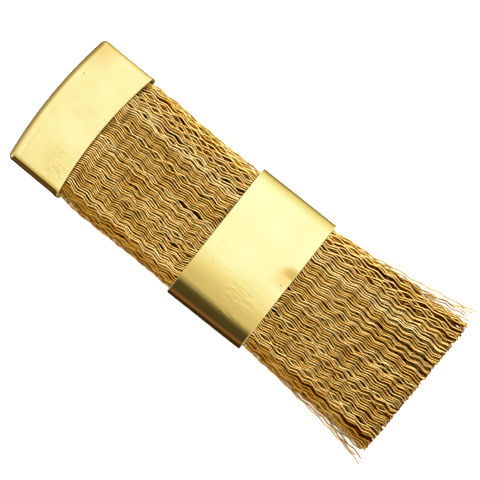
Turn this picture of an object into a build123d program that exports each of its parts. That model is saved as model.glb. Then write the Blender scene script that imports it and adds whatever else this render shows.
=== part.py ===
"""Flat brass wire brush for cleaning soldering tips and small bits.

A bundle of fine wires stands in a pressed end cap, and a flat band slides along it.
The brush lies flat: +X runs from the closed end of the cap to the free wire tips, +Y is
across the broad face and +Z is its thickness. The origin is at the middle of the
underside, where the cap and the band rest.
"""

import os
from math import sqrt

from build123d import *

os.makedirs("parts", exist_ok=True)

# Whole brush, in millimetres
overall_length = 53.8
thickness = 5.0
sheet = 0.3  # brass sheet of the cap and the band

# End cap: both its closed end and its mouth bow away from the tips in plan
cap_width = 17.5
cap_length = 8.0
cap_side_radius = 1.1
cap_end_bow = 0.7
cap_mouth_bow = 0.8
cap_fold_radius = 0.6

# Sliding band: a rolled strip with its butt seam in the middle of the underside
band_width = 18.1
band_length = 10.6
band_start = 24.4  # from the closed end of the cap, where the band is parked
seam_gap = 0.1
band_edge_radius = 0.08

# Wires: three rows of tows, each tow four wires wide and four deep
wire_diameter = 0.2
wire_pitch_across = 0.259
wire_pitch_deep = 0.325
tow_size = 4
tows_across = 16
row_names = ("bottom", "middle", "top")
bundle_side_radius = 1.95
tip_scatter = 0.6
root_bond_depth = 1.4

# Worked out from the above
closed_end_x = -overall_length / 2
mouth_x = closed_end_x + cap_length
wires_across = tows_across * tow_size
wires_deep = len(row_names) * tow_size
bundle_half_width = wires_across * wire_pitch_across / 2
root_x = closed_end_x + cap_end_bow + sheet + root_bond_depth
tip_x = overall_length / 2


def cap_block(inset, front_x):
    """Return the cap's outer volume shrunk by inset on every wall, cut off at front_x."""
    half_width = cap_width / 2 - inset
    end_x = closed_end_x + inset
    with BuildPart() as block:
        with BuildSketch(Plane.YZ.offset(closed_end_x)):
            with Locations((0, thickness / 2)):
                RectangleRounded(2 * half_width, thickness - 2 * inset, cap_side_radius - inset)
        extrude(amount=front_x - closed_end_x)
        with BuildSketch():
            with BuildLine():
                left_corner = (end_x + cap_end_bow, half_width)
                right_corner = (end_x + cap_end_bow, -half_width)
                ThreePointArc(left_corner, (end_x, 0), right_corner)
                Polyline(right_corner, (front_x, -half_width), (front_x, half_width), left_corner)
            make_face()
        extrude(amount=thickness, mode=Mode.INTERSECT)
        end_face = block.faces().sort_by(Axis.X)[0]
        fillet(end_face.edges(), cap_fold_radius - inset)
    return block.part


def wire_fits(y, z):
    """Say whether a wire centred at y, z lies inside the round-sided bundle."""
    radius = bundle_side_radius - wire_diameter / 2
    straight_half = bundle_half_width - bundle_side_radius
    if abs(z) > radius:
        return False
    return abs(y) <= straight_half + sqrt(radius**2 - z**2)


def wire_length(column, layer):
    """Return one wire's length: the tips are cut unevenly, in steps up to tip_scatter."""
    steps = 10
    trim = tip_scatter * ((7 * column + 3 * layer) % (steps + 1)) / steps
    return tip_x - root_x - trim


# End cap
cap_outside = cap_block(0, mouth_x)
cap_inside = cap_block(sheet, mouth_x + sheet)
with BuildPart() as end_cap:
    add(cap_outside)
    add(cap_inside, mode=Mode.SUBTRACT)
    with BuildSketch():
        with BuildLine():
            mouth_left = (mouth_x, cap_width / 2)
            mouth_right = (mouth_x, -cap_width / 2)
            ThreePointArc(mouth_left, (mouth_x - cap_mouth_bow, 0), mouth_right)
            Line(mouth_right, mouth_left)
        make_face()
    extrude(amount=thickness, mode=Mode.SUBTRACT)
end_cap.part.label = "end_cap"
export_step(end_cap.part, "parts/end_cap.step")

# Root bond: fills the closed end of the cap and holds every wire by its root
with BuildPart() as root_bond:
    add(cap_block(sheet, root_x))
root_bond.part.label = "root_bond"
export_step(root_bond.part, "parts/root_bond.step")

# Sliding band
band_plane = Plane.YZ.offset(closed_end_x + band_start)
with BuildPart() as sliding_band:
    with BuildSketch(band_plane):
        with Locations((0, thickness / 2)):
            SlotOverall(band_width, thickness)
    extrude(amount=band_length)
    fillet(sliding_band.faces().filter_by(Axis.X).edges(), band_edge_radius)
    with BuildSketch(band_plane):
        with Locations((0, thickness / 2)):
            SlotOverall(band_width - 2 * sheet, thickness - 2 * sheet)
        with Locations((0, sheet / 2)):
            Rectangle(seam_gap, 2 * sheet)
    extrude(amount=band_length, mode=Mode.SUBTRACT)
sliding_band.part.label = "sliding_band"
export_step(sliding_band.part, "parts/sliding_band.step")

# Wires: each node is one tow, whose wires were crimped together
for row, row_name in enumerate(row_names):
    for tow in range(tows_across):
        with BuildPart() as wires:
            for column in range(tow * tow_size, (tow + 1) * tow_size):
                for layer in range(row * tow_size, (row + 1) * tow_size):
                    y = (column - (wires_across - 1) / 2) * wire_pitch_across
                    z = (layer - (wires_deep - 1) / 2) * wire_pitch_deep
                    if wire_fits(y, z):
                        with BuildSketch(Plane.YZ.offset(root_x)):
                            with Locations((y, z + thickness / 2)):
                                Circle(wire_diameter / 2)
                        extrude(amount=wire_length(column, layer))
        wires.part.label = f"wires_{row_name}_{tow + 1:02d}"
        export_step(wires.part, f"parts/wires_{row_name}_{tow + 1:02d}.step")
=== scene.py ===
"""Looks of the flat brass wire brush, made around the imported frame.

Lengths are in metres, in the frame's own axes: +X runs from the closed end of the cap to
the wire tips, +Y across the broad face, +Z up out of the broad face that the camera sees.
"""

import math

import bmesh
import bpy
import numpy as np
from mathutils import Matrix, Vector


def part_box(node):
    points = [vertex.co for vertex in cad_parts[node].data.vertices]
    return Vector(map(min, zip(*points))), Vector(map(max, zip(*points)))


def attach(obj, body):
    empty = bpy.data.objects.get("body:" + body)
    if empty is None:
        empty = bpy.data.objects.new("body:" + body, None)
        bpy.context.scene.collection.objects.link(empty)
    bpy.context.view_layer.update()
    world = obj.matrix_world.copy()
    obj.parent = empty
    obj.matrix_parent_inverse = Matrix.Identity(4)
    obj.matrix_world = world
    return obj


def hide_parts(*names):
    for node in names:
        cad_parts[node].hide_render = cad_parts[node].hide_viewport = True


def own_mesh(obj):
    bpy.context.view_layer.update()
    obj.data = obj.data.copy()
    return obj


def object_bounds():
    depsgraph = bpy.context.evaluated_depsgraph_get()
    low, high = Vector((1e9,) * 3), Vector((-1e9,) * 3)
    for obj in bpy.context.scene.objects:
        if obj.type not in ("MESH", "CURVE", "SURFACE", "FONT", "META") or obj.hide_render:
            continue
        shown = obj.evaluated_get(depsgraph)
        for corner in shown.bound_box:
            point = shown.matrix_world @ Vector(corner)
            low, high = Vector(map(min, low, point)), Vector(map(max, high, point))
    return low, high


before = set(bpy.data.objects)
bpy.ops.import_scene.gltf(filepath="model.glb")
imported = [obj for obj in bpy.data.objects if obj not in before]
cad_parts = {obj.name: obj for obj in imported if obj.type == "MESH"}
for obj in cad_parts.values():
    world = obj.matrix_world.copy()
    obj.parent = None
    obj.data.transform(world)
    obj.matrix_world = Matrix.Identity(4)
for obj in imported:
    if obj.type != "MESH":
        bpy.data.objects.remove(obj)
cad_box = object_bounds()

MM = 0.001
rng = np.random.default_rng(53)

# ---------------------------------------------------------------- places, from the frame
cap_low, cap_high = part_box("end_cap")
band_low, band_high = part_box("sliding_band")
wire_nodes = sorted(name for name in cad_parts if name.startswith("wires_"))
tip_x = max(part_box(name)[1][0] for name in wire_nodes)
root_x = min(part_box(name)[0][0] for name in wire_nodes)
mid_z = (cap_low[2] + cap_high[2]) / 2
closed_end_x = cap_low[0]
mouth_x = cap_high[0]
band_start_x = band_low[0]
band_end_x = band_high[0]
cap_half_width = (cap_high[1] - cap_low[1]) / 2
band_half_width = (band_high[1] - band_low[1]) / 2
half_thickness = (band_high[2] - band_low[2]) / 2

# Sheet metal
SHEET = 0.3 * MM
CAP_SIDE_RADIUS = 0.8 * MM
CAP_END_BOW = 0.7 * MM
CAP_MOUTH_BOW = 0.8 * MM
SEAM_GAP = 0.1 * MM
BAND_FLATNESS = 5.0  # exponent of the band's oval across its width; higher is flatter
BAND_TWIST = 0.5  # change of the exponent towards the band's ends, on the -Y side; twice that on +Y
BAND_SLANT = math.radians(1.1)  # the band stands a little askew on the bundle
BAND_SLUMP = 0.045 * MM  # how far the upper face sinks at its front end, on the -Y side
DENT_DEPTH = 0.11 * MM
DENT_Y = 0.7 * MM

# Bundle: three rows of tows, each tow four wires wide and four deep
ROWS = ("bottom", "middle", "top")
TOWS_ACROSS = 16
TOW_SIZE = 4
COLUMNS = TOWS_ACROSS * TOW_SIZE
LAYERS = len(ROWS) * TOW_SIZE
PITCH_ACROSS = 0.259 * MM
PITCH_DEEP = 0.325 * MM
BUNDLE_HALF = COLUMNS * PITCH_ACROSS / 2
SIDE_RADIUS = 1.95 * MM
TIP_FLARE = 0.10  # spread of the tips, as a share of the bundle's width
TIP_BEND = 0.5 * MM  # how far the tips lean towards +Y
TIP_SCATTER = 0.28 * MM  # how unevenly the tips are cut
LOOSE_EDGE = 1.6 * MM  # width of the edges in which the tips stray more
BOW = 0.09 * MM

# Wire
WIRE_RADIUS = 0.1 * MM
CRIMP_LENGTH = 2.12 * MM
CRIMP_HEIGHT = 0.128 * MM
CRIMP_LIFT = 0.045 * MM  # height of the waves out of the broad face
JUMP_CHANCE = 0.22  # how often the next wire starts a new group of nested waves
EVEN_EDGE = 4  # columns at each edge that stay in one group
# Painted light on the wires: the side of a wire that faces out of the bundle is painted brighter and its
# inner sides darker, and deeper layers are painted darker as shade between wires
OUTER_SIDE_PAINTED_LIGHT = 1.0  # how much brighter the outward side of a wire is
PAINTED_LIGHT_FROM = 0.82  # how squarely a side has to face outwards to be brighter
PAINTED_SHADE_PER_LAYER = 0.33
LANE_Y = 1 * MM  # a duller lane along the bundle
LANE_WIDTH = 1.6 * MM
LANE_DULL = 0.10
STRAY_DULL = 0.15

# How far the outermost tips would be drawn in as the band slides out to them; the shift is worked out for
# each tow but not applied
SQUEEZE_PLUS_Y = 2.2 * MM
SQUEEZE_MINUS_Y = 1.2 * MM
SQUEEZE_FROM = 3 * MM  # nearer the middle than this, nothing is drawn in
SQUEEZE_OVER = 7 * MM

# Wires sprung away from the edges, by column and layer: where they leave the bundle, how far
# their tips reach along X, and how far aside the tips stand, in millimetres.
STRAYS = {
    (63, 6): (10.0, 26.6, 1.0),
    (63, 5): (15.0, 26.0, 0.7),
    (62, 8): (13.0, 26.3, 1.1),
    (62, 5): (14.0, 25.9, 0.9),
    (0, 6): (9.0, 27.3, -1.2),
    (0, 5): (13.0, 26.4, -0.8),
    (1, 8): (17.0, 27.0, -0.7),
}
wires_only = bpy.data.collections.new("wires_only")  # what the wires' own lamps light


def rise(x, start, length):
    """Go smoothly from 0 at start to 1 at start + length."""
    t = np.clip((x - start) / length, 0, 1)
    return t * t * (3 - 2 * t)


def hump(x, centre, width):
    """A smooth bump of height 1."""
    return np.exp(-(((x - centre) / width) ** 2))


def waves(x, y, height, length, seed):
    """A smooth, gently uneven surface: a few long sine waves in random directions."""
    draw = np.random.default_rng(seed)
    total = np.zeros(np.broadcast(x, y).shape)
    for _ in range(7):
        turn = draw.uniform(0, math.tau)
        wave = length * draw.uniform(0.6, 1.7)
        phase = draw.uniform(0, math.tau)
        along = x * math.cos(turn) + y * math.sin(turn)
        total += np.sin(math.tau * along / wave + phase) * wave / length
    return height * total / math.sqrt(7)


# ---------------------------------------------------------------- meshes
def new_piece(name, verts, faces, material, body, smooth=None):
    """Make a mesh object that rides on a body. smooth holds one flag per face."""
    mesh = bpy.data.meshes.new(name)
    mesh.from_pydata([tuple(v) for v in verts], [], faces)
    mesh.materials.append(material)
    flags = np.ones(len(faces), dtype=bool) if smooth is None else np.asarray(smooth, dtype=bool)
    mesh.polygons.foreach_set("use_smooth", flags)
    mesh.update()
    piece = bpy.data.objects.new(name, mesh)
    bpy.context.collection.objects.link(piece)
    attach(piece, body)
    return piece


def grid_faces(rows, columns):
    """Quads of a grid of points that is stored row by row, where each row is a closed loop."""
    faces = []
    for i in range(rows - 1):
        for j in range(columns):
            here = i * columns
            there = here + columns
            after = (j + 1) % columns
            faces.append((here + j, here + after, there + after, there + j))
    return faces


def even_spacing(points, count, closed):
    """Spread count points evenly along a polyline."""
    if closed:
        points = np.vstack([points, points[:1]])
    steps = np.linalg.norm(np.diff(points, axis=0), axis=1)
    reach = np.concatenate([[0], np.cumsum(steps)])
    wanted = np.linspace(0, reach[-1], count, endpoint=not closed)
    return np.column_stack([np.interp(wanted, reach, points[:, k]) for k in (0, 1)])


def outward(points, closed):
    """Unit normals of a loop in the YZ plane that runs anticlockwise."""
    if closed:
        ahead, behind = np.roll(points, -1, axis=0), np.roll(points, 1, axis=0)
        along = ahead - behind
    else:
        along = np.gradient(points, axis=0)
    normal = np.column_stack([along[:, 1], -along[:, 0]])
    return normal / np.linalg.norm(normal, axis=1, keepdims=True)


def rounded_rectangle(half_width, half_height, radius, count):
    """Loop round the cap's section, starting at the middle of the underside."""
    points = [(0.0, -half_height)]
    for corner, (side_y, side_z) in enumerate([(1, -1), (1, 1), (-1, 1), (-1, -1)]):
        for turn in np.linspace(0, math.pi / 2, 12):
            angle = turn + (corner - 1) * math.pi / 2
            y = side_y * (half_width - radius) + radius * math.cos(angle)
            z = side_z * (half_height - radius) + radius * math.sin(angle)
            points.append((y, z))
    return even_spacing(np.array(points), count, closed=True)


def oval(half_width, half_height, flatness, count, gap):
    """Open loop round the band's section, from one side of the seam to the other."""
    turn = np.linspace(-math.pi / 2, 1.5 * math.pi, 4001)
    y = half_width * np.cos(turn)
    z = half_height * np.sign(np.sin(turn)) * np.sqrt(1 - np.abs(np.cos(turn)) ** flatness)
    points = np.column_stack([y, z])
    keep = (np.abs(y) >= gap / 2) | (z > 0)
    return even_spacing(points[keep], count, closed=False)


def strip_section(start, end, thickness, outer_edge, inner_edge):
    """Closed outline of a strip cut across: x along its width, and the height over its outer skin."""
    outer_turns = np.linspace(0, math.pi / 2, 6)
    inner_turns = np.linspace(0, math.pi / 2, 4)
    outline = []
    for x in np.linspace(start + outer_edge, end - outer_edge, 34):
        outline.append((x, 0.0))
    for turn in outer_turns[1:]:
        back, down = outer_edge * (1 - math.sin(turn)), outer_edge * (1 - math.cos(turn))
        outline.append((end - back, -down))
    for turn in inner_turns:
        back, up = inner_edge * (1 - math.cos(turn)), inner_edge * (1 - math.sin(turn))
        outline.append((end - back, -thickness + up))
    for x in np.linspace(end - inner_edge, start + inner_edge, 10)[1:]:
        outline.append((x, -thickness))
    for turn in inner_turns[1:]:
        back, up = inner_edge * (1 - math.sin(turn)), inner_edge * (1 - math.cos(turn))
        outline.append((start + back, -thickness + up))
    for turn in outer_turns[:-1]:
        back, down = outer_edge * (1 - math.cos(turn)), outer_edge * (1 - math.sin(turn))
        outline.append((start + back, -down))
    return np.array(outline)


# ---------------------------------------------------------------- materials
def node(tree, kind, **values):
    """Add a shader node and set its sockets by name, or its settings."""
    made = tree.nodes.new(kind)
    for key, value in values.items():
        if key in made.inputs:
            made.inputs[key].default_value = value
        else:
            setattr(made, key, value)
    return made


def ramp(tree, stops, source):
    """A colour ramp fed by a socket. stops are (place, colour) pairs."""
    made = tree.nodes.new("ShaderNodeValToRGB")
    elements = made.color_ramp.elements
    while len(elements) < len(stops):
        elements.new(0.5)
    for element, (place, colour) in zip(elements, stops):
        element.position = place
        element.color = (*colour, 1)
    tree.links.new(source, made.inputs["Fac"])
    return made.outputs["Color"]


def new_material(name, metallic):
    """A material with nodes. Returns it, its tree, its shader and the object's coordinates."""
    material = bpy.data.materials.new(name)
    material.use_nodes = True
    tree = material.node_tree
    shader = tree.nodes["Principled BSDF"]
    shader.inputs["Metallic"].default_value = metallic
    return material, tree, shader, node(tree, "ShaderNodeTexCoord").outputs["Object"]


def map_range(tree, source, low, high, to_low=0.0, to_high=1.0, **values):
    """Map a value that runs from low to high onto to_low to to_high."""
    made = node(tree, "ShaderNodeMapRange", **values)
    for socket, value in (("From Min", low), ("From Max", high), ("To Min", to_low), ("To Max", to_high)):
        made.inputs[socket].default_value = value
    tree.links.new(source, made.inputs["Value"])
    return made.outputs["Result"]


def add_scaled(tree, value, scale, base):
    """Add a value times scale to a base value."""
    made = node(tree, "ShaderNodeMath", operation="MULTIPLY_ADD")
    tree.links.new(value, made.inputs[0])
    made.inputs[1].default_value = scale
    tree.links.new(base, made.inputs[2])
    return made.outputs[0]


def bump(tree, height, strength, distance, under=None):
    """Raise a height as a bump. strength is a number or a socket, and under is the normal beneath it."""
    made = node(tree, "ShaderNodeBump", Distance=distance)
    if isinstance(strength, float):
        made.inputs["Strength"].default_value = strength
    else:
        tree.links.new(strength, made.inputs["Strength"])
    tree.links.new(height, made.inputs["Height"])
    if under is not None:
        tree.links.new(under, made.inputs["Normal"])
    return made.outputs["Normal"]


def mapped_noise(tree, coords, stretch, **values):
    """Noise in object space, stretched along the axes."""
    mapping = node(tree, "ShaderNodeMapping")
    mapping.inputs["Scale"].default_value = stretch
    tree.links.new(coords, mapping.inputs["Vector"])
    noise = node(tree, "ShaderNodeTexNoise", **values)
    tree.links.new(mapping.outputs["Vector"], noise.inputs["Vector"])
    return noise.outputs["Fac"]


def multiply(tree, first, second):
    """Multiply two colours."""
    made = node(tree, "ShaderNodeMix", data_type="RGBA", blend_type="MULTIPLY", clamp_result=False)
    made.inputs["Factor"].default_value = 1.0
    tree.links.new(first, made.inputs[6])
    tree.links.new(second, made.inputs[7])
    return made.outputs[2]


def near(tree, coords, centre, reach):
    """1 at a point of the object, falling to 0 at a distance."""
    away = node(tree, "ShaderNodeVectorMath", operation="DISTANCE")
    tree.links.new(coords, away.inputs[0])
    away.inputs[1].default_value = centre
    return map_range(tree, away.outputs["Value"], reach, 0.0, interpolation_type="SMOOTHSTEP")


def polished_brass(name, pale, deep, speck, scuff, scuff_reach, shade_patch, shade_patch_reach):
    """Polished sheet brass: cloudy tone, scratches along X, a speck, a warm patch of painted shade and a
    scuffed patch.
    """
    material, tree, shader, coords = new_material(name, 1.0)
    clouds = mapped_noise(tree, coords, (1, 1, 1), Scale=260.0, Detail=5.0, Roughness=0.6)
    scratches = mapped_noise(tree, coords, (60, 2600, 2600), Scale=1.0, Detail=6.0, Roughness=0.7)
    grain = mapped_noise(tree, coords, (400, 6000, 6000), Scale=1.0, Detail=3.0, Roughness=0.6)
    spots = mapped_noise(tree, coords, (1, 1, 1), Scale=1900.0, Detail=2.0, Roughness=0.5)

    tone = ramp(tree, [(0.3, deep), (0.62, pale)], clouds)
    dots = ramp(tree, [(0.76, (1, 1, 1)), (0.80, (0.45, 0.36, 0.26))], spots)
    at_speck = near(tree, coords, speck, 0.16 * MM)
    dark_speck = ramp(tree, [(0.35, (1, 1, 1)), (0.6, (0.35, 0.30, 0.20))], at_speck)
    # painted shade: a warm darker patch where the sheet folds or is dented
    at_shade_patch = near(tree, coords, shade_patch, shade_patch_reach)
    painted_shade = ramp(tree, [(0.0, (1, 1, 1)), (0.85, (0.95, 0.80, 0.60))], at_shade_patch)
    colour = multiply(tree, multiply(tree, multiply(tree, tone, dots), dark_speck), painted_shade)
    tree.links.new(colour, shader.inputs["Base Color"])

    tree.links.new(map_range(tree, scratches, 0.3, 0.75, 0.06, 0.15), shader.inputs["Roughness"])

    split = node(tree, "ShaderNodeSeparateXYZ")
    tree.links.new(coords, split.inputs[0])
    rubbed = map_range(tree, split.outputs["Y"], -2.0 * MM, -5.0 * MM, 0.06, 0.4)
    lines = bump(tree, scratches, rubbed, 0.02 * MM)
    fine = bump(tree, grain, 0.25, 0.006 * MM, lines)
    ripples = mapped_noise(tree, coords, (900, 2400, 2400), Scale=1.0, Detail=2.0, Roughness=0.5)
    patch = bump(tree, ripples, near(tree, coords, scuff, scuff_reach), 0.03 * MM, fine)
    tree.links.new(patch, shader.inputs["Normal"])
    return material


def drawn_wire_brass(name):
    """Bright drawn wire: every wire has its own tone, with a painted highlight on its outward side,
    painted shade on its inner sides and in the deeper layers, dull streaks along it, and paler cut ends.
    """
    material, tree, shader, coords = new_material(name, 1.0)
    shader.inputs["Specular Tint"].default_value = (0.45, 0.16, 0.0, 1)
    # this attribute holds each wire's own tone together with painted highlight and painted shade
    tint = node(tree, "ShaderNodeAttribute", attribute_name="wire_tone_and_painted_light").outputs["Fac"]
    streaks = mapped_noise(tree, coords, (500, 4000, 4000), Scale=1.0, Detail=4.0, Roughness=0.65)
    patches = mapped_noise(tree, coords, (1, 1, 1), Scale=300.0, Detail=3.0, Roughness=0.5)

    cut_end = node(tree, "ShaderNodeAttribute", attribute_name="cut_end").outputs["Fac"]

    bright = add_scaled(tree, streaks, 0.18, tint)
    bright = add_scaled(tree, patches, 0.28, bright)
    bright = add_scaled(tree, cut_end, 0.6, bright)
    tone = ramp(
        tree,
        [
            (0.05, (0.14, 0.032, 0.0)),
            (0.36, (0.18, 0.042, 0.0)),
            (0.52, (0.38, 0.142, 0.0)),
            (0.68, (0.79, 0.485, 0.09)),
            (0.93, (1.0, 0.83, 0.43)),
        ],
        bright,
    )
    tree.links.new(tone, shader.inputs["Base Color"])

    tree.links.new(map_range(tree, streaks, 0.3, 0.7, 0.22, 0.32), shader.inputs["Roughness"])
    tree.links.new(bump(tree, streaks, 0.12, 0.01 * MM), shader.inputs["Normal"])
    return material


def set_adhesive(name):
    """Dark amber set adhesive in the closed end of the cap."""
    material, tree, shader, coords = new_material(name, 0.0)
    clouds = mapped_noise(tree, coords, (1, 1, 1), Scale=900.0, Detail=4.0, Roughness=0.6)
    tone = ramp(tree, [(0.3, (0.12, 0.075, 0.03)), (0.7, (0.24, 0.16, 0.07))], clouds)
    tree.links.new(tone, shader.inputs["Base Color"])
    tree.links.new(map_range(tree, clouds, 0.0, 1.0, 0.35, 0.6), shader.inputs["Roughness"])
    tree.links.new(bump(tree, clouds, 0.4, 0.03 * MM), shader.inputs["Normal"])
    return material


cap_brass = polished_brass(
    "cap_brass",
    pale=(0.945, 0.865, 0.44),
    deep=(0.90, 0.80, 0.34),
    speck=(closed_end_x + 1.5 * MM, 4.2 * MM, cap_high[2]),
    scuff=(mouth_x - 2 * MM, -6.5 * MM, cap_high[2]),
    scuff_reach=1.6 * MM,
    # painted shade just inside the +Y corner of the closed end
    shade_patch=(closed_end_x + 1.0 * MM, cap_half_width - 0.7 * MM, cap_high[2]),
    shade_patch_reach=3.6 * MM,
)
band_brass = polished_brass(
    "band_brass",
    pale=(0.965, 0.925, 0.50),
    deep=(0.95, 0.885, 0.44),
    speck=(band_end_x - 0.75 * MM, -0.2 * MM, band_high[2]),
    scuff=(band_start_x + 7 * MM, -5.4 * MM, band_high[2]),
    scuff_reach=3.6 * MM,
    # painted shade in the dent
    shade_patch=(band_end_x - 0.9 * MM, DENT_Y - 0.2 * MM, band_high[2]),
    shade_patch_reach=2.0 * MM,
)
wire_brass = drawn_wire_brass("wire_brass")
adhesive = set_adhesive("root_adhesive")


# ---------------------------------------------------------------- end cap
def cap_skin(inset, columns, body_rows, end_rows, loop):
    """Rows of points from the mouth to the middle of the closed end, inset from the outside."""
    normal = outward(loop, closed=True)
    skin = loop - normal * inset
    fold = (0.5 + 0.3 * np.abs(normal[:, 1])) * MM - inset
    rows = []

    def end_x(y):
        return closed_end_x + inset + CAP_END_BOW * (y / cap_half_width) ** 2

    def lip_x(y):
        return mouth_x - 0.1 * MM - CAP_MOUTH_BOW * np.clip(1 - (y / cap_half_width) ** 2, 0, 1)

    for share in np.linspace(0, 1, body_rows):
        x = lip_x(skin[:, 0]) * (1 - share) + (end_x(skin[:, 0]) + fold) * share
        rows.append(np.column_stack([x, skin]))
    for turn in np.linspace(0, math.pi / 2, 8)[1:]:
        pulled = skin - normal * (fold * (1 - math.cos(turn)))[:, None]
        x = end_x(pulled[:, 0]) + fold * (1 - math.sin(turn))
        rows.append(np.column_stack([x, pulled]))
    rim = rows[-1][:, 1:]
    spine_half = cap_half_width - half_thickness
    spine = np.column_stack([np.clip(rim[:, 0], -spine_half, spine_half), np.zeros(columns)])
    for share in np.linspace(0, 1, end_rows + 1)[1:]:
        pulled = rim * (1 - share) + spine * share
        rows.append(np.column_stack([end_x(pulled[:, 0]), pulled]))
    return np.array(rows), normal


def shape_cap_skin(rows, normal):
    """Add the small unevenness of a pressed cap to its outer skin."""
    x, y = rows[..., 0], rows[..., 1]
    flat = np.abs(normal[:, 1])[None, :] ** 4
    from_end = x - closed_end_x - CAP_END_BOW * (y / cap_half_width) ** 2
    groove = 0.035 * MM * hump(from_end, 1.25 * MM, 0.14 * MM)
    uneven = waves(x, y, 0.006 * MM, 5 * MM, 11) * rise(from_end, 0.8 * MM, 1.5 * MM)
    lip = 0.09 * MM * hump(x, mouth_x - 0.1 * MM, 0.35 * MM) * (1 - flat)
    push = flat * (uneven - groove) + lip
    rows[..., 1] += push * normal[None, :, 0]
    rows[..., 2] += push * normal[None, :, 1]
    return rows


def make_cap():
    columns = 260
    loop = rounded_rectangle(cap_half_width, half_thickness, CAP_SIDE_RADIUS, columns)
    outside, normal = cap_skin(0.0, columns, 44, 8, loop)
    outside = shape_cap_skin(outside, normal)
    inside, _ = cap_skin(SHEET, columns, 10, 4, loop)
    lip_outer, lip_inner = outside[0], inside[0]
    lip = []
    for turn in np.linspace(0, math.pi, 7)[1:-1]:
        across = (lip_outer + lip_inner) / 2 + (lip_outer - lip_inner) / 2 * math.cos(turn)
        across[:, 0] += 0.1 * MM * math.sin(turn)
        lip.append(across)
    rows = list(outside[::-1]) + lip + list(inside)
    verts = np.vstack(rows)
    verts[:, 2] += mid_z
    faces = grid_faces(len(rows), columns)
    cap = new_piece("end_cap_skin", verts, faces, cap_brass, "brush")
    weld(cap)
    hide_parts("end_cap")


def weld(piece):
    """Merge points that fall on each other, and drop faces that this flattens."""
    work = bmesh.new()
    work.from_mesh(piece.data)
    bmesh.ops.remove_doubles(work, verts=work.verts, dist=0.002 * MM)
    bmesh.ops.dissolve_degenerate(work, edges=work.edges, dist=0.001 * MM)
    bmesh.ops.recalc_face_normals(work, faces=work.faces)
    work.to_mesh(piece.data)
    work.free()


# ---------------------------------------------------------------- sliding band
def make_band():
    """The band is twisted: its -Y edge is rounder at the start, and its +Y edge at the end."""
    section = strip_section(band_start_x, band_end_x, SHEET, 0.11 * MM, 0.06 * MM)
    length = band_end_x - band_start_x
    even = oval(band_half_width, half_thickness, BAND_FLATNESS, 420, SEAM_GAP)
    loops, normals = [], []
    for x in section[:, 0]:
        twist = BAND_TWIST * (2 * (x - band_start_x) / length - 1)
        near_side = oval(band_half_width, half_thickness, BAND_FLATNESS + twist, 420, SEAM_GAP)
        far_side = oval(band_half_width, half_thickness, BAND_FLATNESS - 2 * twist, 420, SEAM_GAP)
        near_share = rise(-even[:, :1], 0, 3 * MM)
        far_share = rise(even[:, :1], 0, 3 * MM)
        loop = even + (near_side - even) * near_share + (far_side - even) * far_share
        loops.append(loop)
        normals.append(outward(loop, closed=False))
    loop = np.stack(loops, axis=1)
    normal = np.stack(normals, axis=1)
    x = section[None, :, 0] * np.ones((len(loop), 1))
    y = loop[..., 0]
    upper = normal[..., 1] > 0
    uneven = waves(x, y, 0.007 * MM, 6 * MM, 23)
    dent = DENT_DEPTH * hump(x, band_end_x - 0.2 * MM, 1.2 * MM) * hump(y, DENT_Y, 1.0 * MM)
    slump = BAND_SLUMP * rise(x, band_start_x, length) * rise(-y, 1.2 * MM, 4 * MM)
    push = section[None, :, 1] + uneven - np.where(upper, dent + slump, 0)
    across = y + push * normal[..., 0]
    from_middle = x - (band_start_x + band_end_x) / 2
    slant_x = x + from_middle * (math.cos(BAND_SLANT) - 1) - across * math.sin(BAND_SLANT)
    slant_y = from_middle * math.sin(BAND_SLANT) + across * math.cos(BAND_SLANT)
    verts = np.stack([slant_x, slant_y, mid_z + loop[..., 1] + push * normal[..., 1]], axis=-1)
    verts = verts.reshape(-1, 3)
    columns = len(section)
    faces = grid_faces(len(loop), columns)
    smooth = [True] * len(faces)
    last = (len(loop) - 1) * columns
    faces.append(tuple(range(columns)))
    faces.append(tuple(range(last + columns - 1, last - 1, -1)))
    smooth += [False, False]
    band = new_piece("sliding_band_skin", verts, faces, band_brass, "band", smooth)
    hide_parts("sliding_band")


# ---------------------------------------------------------------- wires
def crimp(angle):
    """A rounded zigzag of height 1."""
    return (np.sin(angle) - 0.10 * np.sin(3 * angle)) / 1.06


def wander(x, height, length):
    """Slow drift along a wire, none where the cap holds it."""
    total = np.zeros_like(x)
    for _ in range(3):
        total += np.sin(math.tau * x / (length * rng.uniform(0.7, 1.5)) + rng.uniform(0, math.tau))
    return height * total / 1.7 * rise(x, mouth_x - 1 * MM, 4 * MM)


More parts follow.
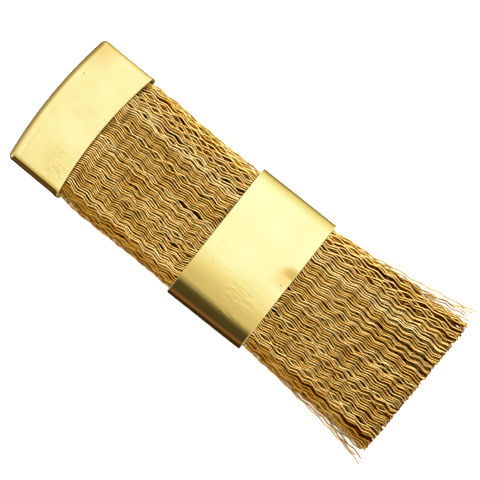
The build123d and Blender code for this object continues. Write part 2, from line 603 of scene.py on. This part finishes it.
def tube_mesh(paths, sides, tones, outs):
    """Closed tubes round paths of shape (wires, rings, 3), as points, faces and tones.

    The side of a wire that faces out of the bundle gets a painted highlight, and the rest gets painted
    shade.
    """
    wires, rings = paths.shape[:2]
    along = np.gradient(paths, axis=1)
    along /= np.linalg.norm(along, axis=2, keepdims=True)
    side = np.cross(np.array([0.0, 0.0, 1.0]), along)
    side /= np.linalg.norm(side, axis=2, keepdims=True)
    up = np.cross(along, side)
    turn = np.arange(sides) * math.tau / sides + math.pi / sides
    ring = np.cos(turn)[:, None] * side[:, :, None, :] + np.sin(turn)[:, None] * up[:, :, None, :]
    verts = (paths[:, :, None, :] + WIRE_RADIUS * ring).reshape(-1, 3)
    base = (np.arange(wires) * rings * sides)[:, None, None]
    i = np.arange(rings - 1)[None, :, None] * sides
    j = np.arange(sides)[None, None, :]
    k = (j + 1) % sides
    quads = np.stack([base + i + j, base + i + k, base + i + sides + k, base + i + sides + j], axis=-1)
    quads = quads.reshape(-1, 4)
    start = np.arange(sides)[::-1]
    end = (rings - 1) * sides + np.arange(sides)
    caps = np.concatenate([base[:, 0] + start, base[:, 0] + end])
    out_y, out_z = outs[:, 0, None, None], outs[:, 1, None, None]
    # painted light: brighter where a side faces out of the bundle, painted shade on the sides that face
    # in
    facing = np.maximum(ring[..., 1] * out_y + ring[..., 2] * out_z, np.abs(ring[..., 2] * out_y))
    point_tones = (tones[:, None, None] + OUTER_SIDE_PAINTED_LIGHT * (facing - PAINTED_LIGHT_FROM)).ravel()
    return verts, quads, caps, point_tones


def wire_piece(name, paths, sides, tones, outs):
    """One mesh piece holding one or more wires."""
    verts, quads, caps, point_tones = tube_mesh(np.array(paths), sides, np.array(tones), np.array(outs))
    mesh = bpy.data.meshes.new(name)
    mesh.vertices.add(len(verts))
    mesh.vertices.foreach_set("co", verts.ravel())
    loops = np.concatenate([quads.ravel(), caps.ravel()])
    mesh.loops.add(len(loops))
    mesh.loops.foreach_set("vertex_index", loops.astype(np.int32))
    sizes = np.concatenate([np.full(len(quads), 4), np.full(len(caps), sides)])
    starts = np.concatenate([[0], np.cumsum(sizes)[:-1]])
    mesh.polygons.add(len(sizes))
    mesh.polygons.foreach_set("loop_start", starts.astype(np.int32))
    mesh.polygons.foreach_set("use_smooth", sizes == 4)
    mesh.update(calc_edges=True)
    mesh.validate()
    cut = mesh.attributes.new("cut_end", "FLOAT", "FACE")
    cut.data.foreach_set("value", (sizes != 4).astype(np.float32))
    tone = mesh.attributes.new("wire_tone_and_painted_light", "FLOAT", "POINT")
    tone.data.foreach_set("value", point_tones.astype(np.float32))
    mesh.materials.append(wire_brass)
    piece = bpy.data.objects.new(name, mesh)
    bpy.context.collection.objects.link(piece)
    wires_only.objects.link(piece)
    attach(piece, "brush")
    return piece


def room_in_band(y):
    """How far from the middle plane a wire may stand and still clear the inside of the band.

    A wire also wanders sideways, so it is taken a little nearer to the band's side than it starts.
    """
    across = min((1.03 * abs(y) + 0.15 * MM) / (band_half_width - SHEET), 1)
    inside = (half_thickness - SHEET) * math.sqrt(1 - across ** (BAND_FLATNESS - 2 * BAND_TWIST))
    return inside - WIRE_RADIUS - 0.04 * MM - DENT_DEPTH * hump(y, DENT_Y, 1.2 * MM)


def way_out(y, z):
    """Depth of a wire under the rounded surface of the bundle, and the way out of it."""
    flat_half = BUNDLE_HALF - SIDE_RADIUS
    out = np.array([y - np.clip(y, -flat_half, flat_half), z])
    reach = np.linalg.norm(out)
    return SIDE_RADIUS - WIRE_RADIUS - reach, out / reach


def bundle_spread(x):
    """How far the bundle is spread sideways, as a share of its width in the cap."""
    past_mouth = 0.022 * rise(x, mouth_x - 0.3 * MM, 1.5 * MM)
    flare = TIP_FLARE * np.clip((x - band_end_x) / (tip_x - band_end_x), 0, 1) ** 1.4
    return 1 + past_mouth + flare


def edge_spring(x, y0):
    """The wires near both edges spring out past the cap and past the band."""
    after_cap = 0.16 * MM * hump(x, mouth_x + 3 * MM, 3 * MM)
    after_band = (0.38 if y0 > 0 else 0.15) * MM * rise(x, band_end_x - 0.5 * MM, 3.5 * MM)
    return math.copysign(1, y0) * (after_cap + after_band) * (abs(y0) / BUNDLE_HALF) ** 3


def bundle_bend(x):
    """The bundle bows a little: towards -Y before the band, and towards +Y from there to the tips."""
    middle = (band_start_x + band_end_x) / 2
    slant = math.tan(BAND_SLANT) * (np.clip(x, band_start_x, band_end_x) - middle)
    before = rise(x, mouth_x, 7 * MM)
    bow = -BOW * hump(x, band_start_x - 6 * MM, 5 * MM) * rise(band_start_x - x, 0, 3 * MM)
    lean = TIP_BEND * np.clip((x - band_end_x) / (tip_x - band_end_x), 0, 1) ** 1.3
    return slant * before + bow + lean


def crimp_groups():
    """Phase, wave length and lift of every wire: neighbours nest in groups of uneven width."""
    groups = {}
    for layer in range(LAYERS):
        phase, wave, lift = rng.uniform(0, math.tau), 1.0, 0.0
        for column in range(COLUMNS):
            at_edge = min(column, COLUMNS - 1 - column) < EVEN_EDGE
            if rng.random() < JUMP_CHANCE and not at_edge:
                phase += rng.choice([-1, 1]) * rng.uniform(0.5, 1.9)
                wave = rng.normal(1, 0.03)
                lift = rng.normal(0, 0.06) * MM
            phase += rng.normal(0.12, 0.22)
            groups[layer, column] = (phase, CRIMP_LENGTH * wave, lift)
    return groups


def squeeze(piece):
    """Give a piece its own copy of its mesh. Its tips are not drawn in.
    """
    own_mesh(piece)


def stray(column, layer, x, y, z, tone, out):
    """A wire at the edge that has sprung away from the bundle."""
    leaves_x, reach_x, aside = (value * MM for value in STRAYS[column, layer])
    way = np.clip((x - leaves_x) / (tip_x - leaves_x), 0, 1)
    path_x = x + (reach_x - x[-1]) * way
    path_y = y + aside * (0.35 * way**2 + 0.65 * rise(way, 0, 1) * way)
    name = f"stray_wire_{column + 1:02d}_{layer + 1:02d}"
    path = np.column_stack([path_x, path_y, z + mid_z])
    piece = wire_piece(name, [path], 6, [tone - STRAY_DULL], [out])
    squeeze(piece)


def wire_path(share, y0, z0, group, tow_drift):
    """The crimped path of one wire, from the bond to its own cut end."""
    phase, wave, lift = group
    side, rise_of_tow, slip = tow_drift
    end = tip_x - abs(rng.normal(0, TIP_SCATTER))
    x = root_x + share * (end - root_x)
    tip = np.clip((x - band_end_x) / (tip_x - band_end_x), 0, 1) ** 1.5
    angle = math.tau * x / wave + phase + slip

    near_edge = hump(abs(y0), BUNDLE_HALF, 0.7 * MM)
    height = CRIMP_HEIGHT * rng.uniform(0.85, 1.1) * (1 - 0.45 * near_edge)
    y = y0 * bundle_spread(x) + edge_spring(x, y0) + bundle_bend(x) + height * crimp(angle)
    y = y + side + wander(x, 0.04 * MM, 7 * MM)
    y = y + rng.normal(0, 0.13) * MM * tip
    loose = abs(rng.normal(0, 0.4)) * MM * rise(abs(y0), BUNDLE_HALF - LOOSE_EDGE, LOOSE_EDGE)
    y = y + math.copysign(loose, y0) * tip

    z = z0 + CRIMP_LIFT * crimp(angle + math.pi / 2) + rise_of_tow + wander(x, 0.03 * MM, 6 * MM)
    z = z + (lift + rng.normal(0, 0.03) * MM) * rise(x, mouth_x, 2 * MM)
    z = z + rng.normal(0, 0.1) * MM * tip
    return x, y, np.clip(z, -room_in_band(y0), room_in_band(y0))


def wire_tone_and_painted_light(y0, depth):
    """How bright one wire is: its own random tone, with painted shade under the surface, and duller in
    the lane.
    """
    # painted shade: the deeper a wire lies under the surface, the darker it is painted
    buried = min(max(depth / PITCH_DEEP - 0.5, 0), 1)
    return rng.uniform(0.40, 0.63) - PAINTED_SHADE_PER_LAYER * buried - LANE_DULL * hump(y0, LANE_Y, LANE_WIDTH)


def make_tow(row, tow, groups):
    """One tow of wires that were crimped together."""
    in_sight = row != 1 or tow in (0, TOWS_ACROSS - 1)
    rings_per_wave, sides = (10, 6) if in_sight else (6, 5)
    count = int((tip_x - root_x) / CRIMP_LENGTH * rings_per_wave) + 1
    share = np.linspace(0, 1, count)
    tow_x = root_x + share * (tip_x - root_x)
    tow_drift = (
        wander(tow_x, 0.08 * MM, 11 * MM),
        wander(tow_x, 0.05 * MM, 9 * MM),
        wander(tow_x, 0.7, 14 * MM),
    )
    paths, tones, outs = [], [], []
    for column in range(tow * TOW_SIZE, (tow + 1) * TOW_SIZE):
        for layer in range(row * TOW_SIZE, (row + 1) * TOW_SIZE):
            y0 = (column - (COLUMNS - 1) / 2) * PITCH_ACROSS
            z0 = (layer - (LAYERS - 1) / 2) * PITCH_DEEP
            depth, out = way_out(y0, z0)
            if depth < 0:
                continue
            x, y, z = wire_path(share, y0, z0, groups[layer, column], tow_drift)
            tone = wire_tone_and_painted_light(y0, depth)
            if (column, layer) in STRAYS:
                stray(column, layer, x, y, z, tone, out)
                continue
            paths.append(np.column_stack([x, y, z + mid_z]))
            tones.append(tone)
            outs.append(out)
    name = f"wires_{ROWS[row]}_{tow + 1:02d}"
    piece = wire_piece(name + "_crimped", paths, sides, tones, outs)
    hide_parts(name)
    mouth_y, tip_y = np.mean([path[[0, -1], 1] for path in paths], axis=0)
    most = SQUEEZE_PLUS_Y if tip_y > 0 else SQUEEZE_MINUS_Y
    shift = most * np.clip((abs(tip_y) - SQUEEZE_FROM) / SQUEEZE_OVER, 0, 1)
    if shift > 0:
        squeeze(piece)


def make_wires():
    groups = crimp_groups()
    for row in range(len(ROWS)):
        for tow in range(TOWS_ACROSS):
            make_tow(row, tow, groups)


# ---------------------------------------------------------------- studio
def make_floor():
    half = 1.2
    mesh = bpy.data.meshes.new("floor")
    corners = [(-half, -half, 0), (half, -half, 0), (half, half, 0), (-half, half, 0)]
    mesh.from_pydata(corners, [], [(0, 1, 2, 3)])
    floor = bpy.data.objects.new("floor", mesh)
    bpy.context.collection.objects.link(floor)
    material = bpy.data.materials.new("floor")
    material.use_nodes = True
    shader = material.node_tree.nodes["Principled BSDF"]
    shader.inputs["Base Color"].default_value = (0.9, 0.9, 0.9, 1)
    shader.inputs["Roughness"].default_value = 0.9
    mesh.materials.append(material)
    floor.location.z = cad_box[0][2] - 0.02 * MM
    floor.visible_glossy = False


def make_world():
    """A white tent that is open, and so dark and warm, low down on the -Y side.

    The camera sees plain white instead.
    """
    world = bpy.data.worlds.new("studio")
    bpy.context.scene.world = world
    world.use_nodes = True
    tree = world.node_tree
    background = tree.nodes["Background"]
    coords = node(tree, "ShaderNodeTexCoord").outputs["Generated"]
    split = node(tree, "ShaderNodeSeparateXYZ")
    tree.links.new(coords, split.inputs[0])
    sideways = map_range(tree, split.outputs["Y"], 1.0, -1.0)
    upward = map_range(tree, split.outputs["Z"], -1.0, 1.0)
    endways = map_range(tree, split.outputs["X"], -1.0, 1.0)
    tent = ramp(
        tree,
        [
            (0.0, (0.95, 0.84, 0.52)),
            (0.05, (1.03, 1.03, 0.86)),
            (0.12, (1.08, 1.08, 1.06)),
            (0.506, (1.08, 1.08, 1.08)),
            (0.522, (0.99, 0.90, 0.62)),
            (0.55, (0.86, 0.68, 0.38)),
            (0.60, (0.72, 0.55, 0.30)),
            (0.69, (0.70, 0.54, 0.28)),
            (0.76, (0.22, 0.17, 0.07)),
            (0.81, (0.085, 0.062, 0.025)),
            (0.96, (0.07, 0.047, 0.018)),
            (0.985, (0.10, 0.056, 0.022)),
            (1.0, (0.24, 0.10, 0.048)),
        ],
        sideways,
    )
    below = ramp(
        tree,
        [
            (0.0, (0.2, 0.15, 0.09)),
            (0.20, (0.35, 0.27, 0.15)),
            (0.36, (0.84, 0.72, 0.46)),
            (0.5, (1, 1, 1)),
        ],
        upward,
    )
    ends = ramp(
        tree,
        [(0.0, (0.40, 0.34, 0.26)), (0.12, (0.75, 0.66, 0.50)), (0.25, (1, 1, 1)), (1.0, (1, 1, 1))],
        endways,
    )
    aslant = ramp(
        tree,
        [(0.2, (1, 1, 1)), (0.33, (0, 0, 0)), (0.67, (0, 0, 0)), (0.8, (1, 1, 1))],
        endways,
    )
    open_side = node(tree, "ShaderNodeMix", data_type="RGBA", clamp_result=False)
    tree.links.new(aslant, open_side.inputs["Factor"])
    tree.links.new(tent, open_side.inputs[6])
    open_side.inputs[7].default_value = (0.95, 0.90, 0.80, 1)
    light = multiply(tree, multiply(tree, open_side.outputs[2], below), ends)
    tree.links.new(light, background.inputs["Color"])
    plain = node(tree, "ShaderNodeBackground", Color=(1, 1, 1, 1), Strength=1.0)
    seen = node(tree, "ShaderNodeLightPath").outputs["Is Camera Ray"]
    mixed = node(tree, "ShaderNodeMixShader")
    tree.links.new(seen, mixed.inputs[0])
    tree.links.new(background.outputs[0], mixed.inputs[1])
    tree.links.new(plain.outputs[0], mixed.inputs[2])
    tree.links.new(mixed.outputs[0], tree.nodes["World Output"].inputs["Surface"])


def make_lights():
    """Two broad, soft lamps that light everything, and two smaller ones for the wires alone."""
    white = (1.0, 1.0, 1.0)
    for name, place, size, power, colour, for_wires in (
        ("wash_left", (-0.25, 0.30, 0.60), 0.6, 9.0, white, False),
        ("wash_right", (0.25, -0.10, 0.60), 0.6, 7.0, white, False),
        ("glint", (-0.06, 0.34, 0.50), 0.30, 1.1, (1.0, 0.97, 0.90), True),
        ("warm_side", (0.02, -0.55, 0.10), 0.30, 0.42, (1.0, 0.72, 0.34), True),
    ):
        data = bpy.data.lights.new(name, "AREA")
        data.shape = "SQUARE"
        data.size = size
        data.energy = power
        data.color = colour
        light = bpy.data.objects.new(name, data)
        light.location = place
        light.rotation_euler = (-Vector(place)).to_track_quat("-Z", "Y").to_euler()
        bpy.context.collection.objects.link(light)
        if for_wires:
            light.light_linking.receiver_collection = wires_only
        else:
            light.visible_glossy = False


def make_camera():
    """Look almost straight down on the broad face, with the cap at the upper left."""
    roll = math.radians(39.5)
    tilt = math.radians(1.5)
    distance = 0.26
    view_width = 54.7 * MM
    target = Vector((0.45 * MM, 0.82 * MM, cad_box[1][2]))
    data = bpy.data.cameras.new("camera")
    data.sensor_width = 36
    data.lens = 36 * distance / view_width
    data.clip_start = 0.01
    camera = bpy.data.objects.new("camera", data)
    turn = Matrix.Rotation(tilt, 4, "Y") @ Matrix.Rotation(roll, 4, "Z")
    camera.matrix_world = Matrix.Translation(target + turn @ Vector((0, 0, distance))) @ turn
    bpy.context.collection.objects.link(camera)
    bpy.context.scene.camera = camera


make_camera()
make_floor()
make_world()
make_lights()
make_cap()
make_band()
make_wires()
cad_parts["root_bond"].material_slots[0].material = adhesive
bpy.context.scene.view_settings.view_transform = "Standard"
